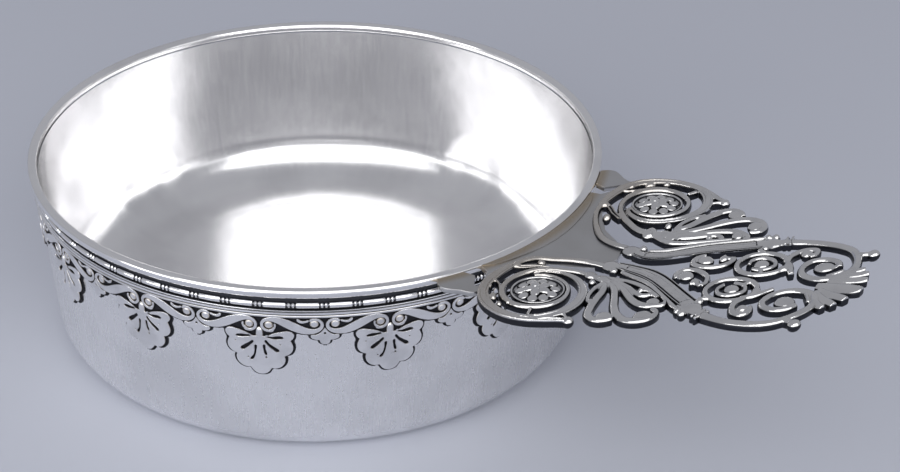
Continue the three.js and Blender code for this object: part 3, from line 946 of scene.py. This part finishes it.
tipBands = [
    (roundBand, [(59.8, 0, 2.2), (62.4, 0, 3.6), (65.4, 0, 4.2), (67.6, 0, 3.2), (68.6, 0, 1.8)]),
    (roundBand, [(61.0, 1.6, 1.6), (63.8, 3.0, 2.2), (66.6, 3.9, 2.3), (67.6, 4.3, 1.6)]),
    (roundBand, [(60.8, 2.6, 1.4), (63.2, 4.8, 1.9), (65.4, 6.2, 2.1), (66.6, 6.9, 1.5)]),
    (roundBand, [(60.8, 3.6, 1.3), (62.4, 6.0, 1.7), (64.2, 7.8, 1.8), (65.2, 8.4, 1.3)]),
]


# Fuses overlapping bands into one casting with soft inner corners.
def fuse(pieces, grid=castForm["grid"]):
    whole = joinAll(pieces)
    remesh = whole.modifiers.new("fuse", "REMESH")
    remesh.mode = "VOXEL"
    remesh.voxel_size = grid
    soften = whole.modifiers.new("soften", "SMOOTH")
    soften.factor = 0.5
    soften.iterations = castForm["smooth"]
    applyAll(whole)
    return whole


def mirrorCopy(piece):
    copy = copyOf(piece)
    copy.data.transform(Matrix.Scale(-1, 4, (0, 1, 0)))
    copy.data.flip_normals()
    return copy


# How closed in each point is, from rays sent out to its neighbours. Oxide in the hollows and painted shade go
# where it is high, and the low sides of a casting get painted shade as well.
patinaAndShadeForm = {
    "reach": 2.6,
    "lift": 0.04,
    "spreads": (0.55, 1.1),
    "around": 8,
    "up": 0.15,             # the rays lean up a little
    "sides": 0.05,          # below this height the sides of a casting get painted shade
    "fade": 0.5,
    "sideShare": 0.8,
    "range": (0.02, 0.24),
}


def patinaAndShadeRays():
    rays = [Vector((0, 0, 0))]
    for spread in patinaAndShadeForm["spreads"]:
        for k in range(patinaAndShadeForm["around"]):
            angle = 2 * math.pi * k / patinaAndShadeForm["around"] + spread
            rays.append(Vector((spread * math.cos(angle), spread * math.sin(angle), patinaAndShadeForm["up"])))
    return rays


def addPatinaAndShade(pieces):
    corners, faces = [], []
    for piece in pieces:
        start = len(corners)
        corners += [v.co.copy() for v in piece.data.vertices]
        faces += [[start + k for k in face.vertices] for face in piece.data.polygons]
    tree = BVHTree.FromPolygons(corners, faces)
    reach, rays = patinaAndShadeForm["reach"], patinaAndShadeRays()
    for piece in pieces:
        layer = piece.data.attributes.new("soil", "FLOAT", "POINT")
        values = []
        for vertex in piece.data.vertices:
            normal = vertex.normal
            start = vertex.co + normal * patinaAndShadeForm["lift"]
            closed = 0.0
            for ray in rays:
                way = (normal + ray).normalized()
                distance = tree.ray_cast(start, way, reach)[3]
                if distance is not None:
                    closed += 1.0 - distance / reach
            # painted shade on the low sides, stronger where they face sideways or down
            low = ease((patinaAndShadeForm["sides"] - vertex.co.z) / patinaAndShadeForm["fade"]) * (1.1 - max(0, normal.z))
            values.append(min(1, closed / len(rays) + patinaAndShadeForm["sideShare"] * low))
        layer.data.foreach_set("value", values)


# Castings go dark with oxide and painted shade where they are closed in.
def castPatinaAndShade(paint, x, y, z):
    soil = paint.add("Attribute", {"attribute_name": "soil"}, out=2)
    grain = paint.noise(paint.vector(x, y, z), 1.1, 3.0)
    return paint.step(soil + (grain - 0.5) * 0.12, *patinaAndShadeForm["range"]) * 0.97


# The castings are browner near the bowl, over this stretch of x.
castBrown = (66.0, 84.0)


def castStain(paint, x, y, z):
    return (1.0 - paint.step(x, *castBrown)) * 0.5


castLook = {
    "base": "worn", "rough": 0.13, "cloud": 0.22, "dull": 0.5, "drag": 1.0, "streak": 0.9, "scratch": 0.08,
    "wave": 0.6, "grain": 0.3, "bump": 0.45,
}
rosetteForm = {
    "dish": [(0.01, -1.05), (5.25, -1.05), (5.3, -0.6), (5.3, 0.05), (5.12, 0.22), (4.9, 0.12), (4.75, -0.35),
             (4.0, -0.5), (2.0, -0.2), (0.01, 0.0)],
    "outer": {"count": 10, "radius": 3.45, "size": (1.15, 1.0, 0.55), "lift": -0.2, "tilt": 16},
    "inner": {"count": 5, "radius": 1.65, "size": (1.15, 0.93, 0.6), "lift": 0.25, "tilt": 12},
    "boss": {"radius": 0.7, "lift": 0.05},
    "middle": (12.2, 21.4),
    "steps": 48,
    "grid": 0.11,
}


def makeRosette():
    form = rosetteForm
    pieces = [turnRings(form["dish"], form["steps"])]
    for row in (form["outer"], form["inner"]):
        for k in range(row["count"]):
            angle = 2 * math.pi * k / row["count"]
            clearPick()
            bpy.ops.mesh.primitive_uv_sphere_add(segments=20, ring_count=12, radius=1)
            petal = bpy.context.object
            petal.scale = row["size"]
            petal.rotation_euler = (0, math.radians(row["tilt"]), angle)
            petal.location = (row["radius"] * math.cos(angle), row["radius"] * math.sin(angle), row["lift"])
            pieces.append(petal)
    pieces.append(knob(0, 0, **form["boss"]))
    whole = fuse(pieces, form["grid"])
    whole.data.transform(Matrix.Translation((*form["middle"], 0)))
    return whole


def makeHandle():
    castMaterial = silver("castSilver", castLook, dark=castPatinaAndShade, stain=castStain)
    rosetteMaterial = silver("rosetteSilver", castLook, dark=castPatinaAndShade)
    castings = {}
    for name, motif in motifs.items():
        pieces = [sweepBand(route, section) for section, route in motif["bands"]]
        pieces += [sweepBand(ringRound(*ring), roundBand, True) for ring in motif.get("rings", [])]
        pieces += [knob(*spot) for spot in motif["knobs"]]
        crisp = [sweepBand(route, section) for section, route in motif.get("crisp", [])]
        castings[name] = joinAll([fuse(pieces), *crisp])
        print("casting", name, len(castings[name].data.vertices), "points a side")
    castings["rosette"] = makeRosette()
    addPatinaAndShade(list(castings.values()))
    for name, left in castings.items():
        drape(left)
        right = mirrorCopy(left)
        material, slot = castMaterial, "cast_silver"
        if name == "rosette":
            material, slot = rosetteMaterial, "rosette_silver"
        finishPiece(left, f"left_{name}_cast", material, [f"left_{name}"], 60)
        finishPiece(right, f"right_{name}_cast", material, [f"right_{name}"], 60)
    pieces = []
    for side, bands in ((1, tipBands), (-1, tipBands[1:])):
        for section, route in bands:
            pieces.append(sweepBand([(x, side * y, width) for x, y, width in route], section))
    tip = fuse(pieces)
    addPatinaAndShade([tip])
    drape(tip)
    finishPiece(tip, "tip_palmette_cast", castMaterial, ["tip_palmette"], 60)


# camera, floor and light
view = {"place": (242.9, -266.9, 232.7), "target": (22.2, 20.2, 16.1), "roll": 0.963, "lens": 72.93}
lamps = {
    "front": {"place": (0.52, -0.68, 0.60), "size": (1.8, 1.1), "power": 9.5},
    "left": {"place": (-0.127, -0.977, 0.174), "size": (0.9, 0.5), "power": 3},
    "right": {"place": (0.977, -0.127, 0.174), "size": (0.9, 0.5), "power": 0.8},
}
floorColour = (0.55, 0.57, 0.64)
floorSize = 6
airGlow = {"Color": (0.62, 0.63, 0.68, 1), "Strength": 0.60}


def makeCamera():
    data = bpy.data.cameras.new("camera")
    data.lens = view["lens"]
    data.sensor_width = 36
    camera = putIn(bpy.data.objects.new("camera", data))
    place, target = Vector(view["place"]) * mm, Vector(view["target"]) * mm
    look = (target - place).to_track_quat("-Z", "Y").to_matrix().to_4x4()
    roll = Matrix.Rotation(math.radians(view["roll"]), 4, "Z")
    camera.matrix_world = Matrix.Translation(place) @ look @ roll
    data.clip_start = 0.01
    bpy.context.scene.camera = camera


def makeStage():
    clearPick()
    bpy.ops.mesh.primitive_plane_add(size=floorSize)
    floor = bpy.context.object
    floor.name = "floor"
    material = bpy.data.materials.new("floorPaper")
    material.use_nodes = True
    paint = Paint(material.node_tree)
    shader = paint.add("BsdfDiffuse", {}, {"Color": (*floorColour, 1)})
    paint.add("OutputMaterial", {}, {"Surface": shader})
    floor.data.materials.append(material)
    world = bpy.data.worlds.new("studio")
    world.use_nodes = True
    bpy.context.scene.world = world
    paint = Paint(world.node_tree)
    glow = paint.add("Background", {}, airGlow)
    paint.add("OutputWorld", {}, {"Surface": glow})
    for name, lamp in lamps.items():
        data = bpy.data.lights.new(name, "AREA")
        data.shape = "RECTANGLE"
        data.size, data.size_y = lamp["size"]
        data.energy = lamp["power"]
        light = putIn(bpy.data.objects.new(name, data))
        light.location = lamp["place"]
        light.rotation_euler = (-Vector(lamp["place"])).to_track_quat("-Z", "Y").to_euler()


makeCamera()
makeStage()
print("camera and stage")
makeBowl()
makeRim()
makeReels()
makeFillet()
print("bowl and wires")
makeFrieze()
print("frieze")
makePlate()
makeHandle()
print("handle")

bpy.context.scene.view_settings.view_transform = "Standard"
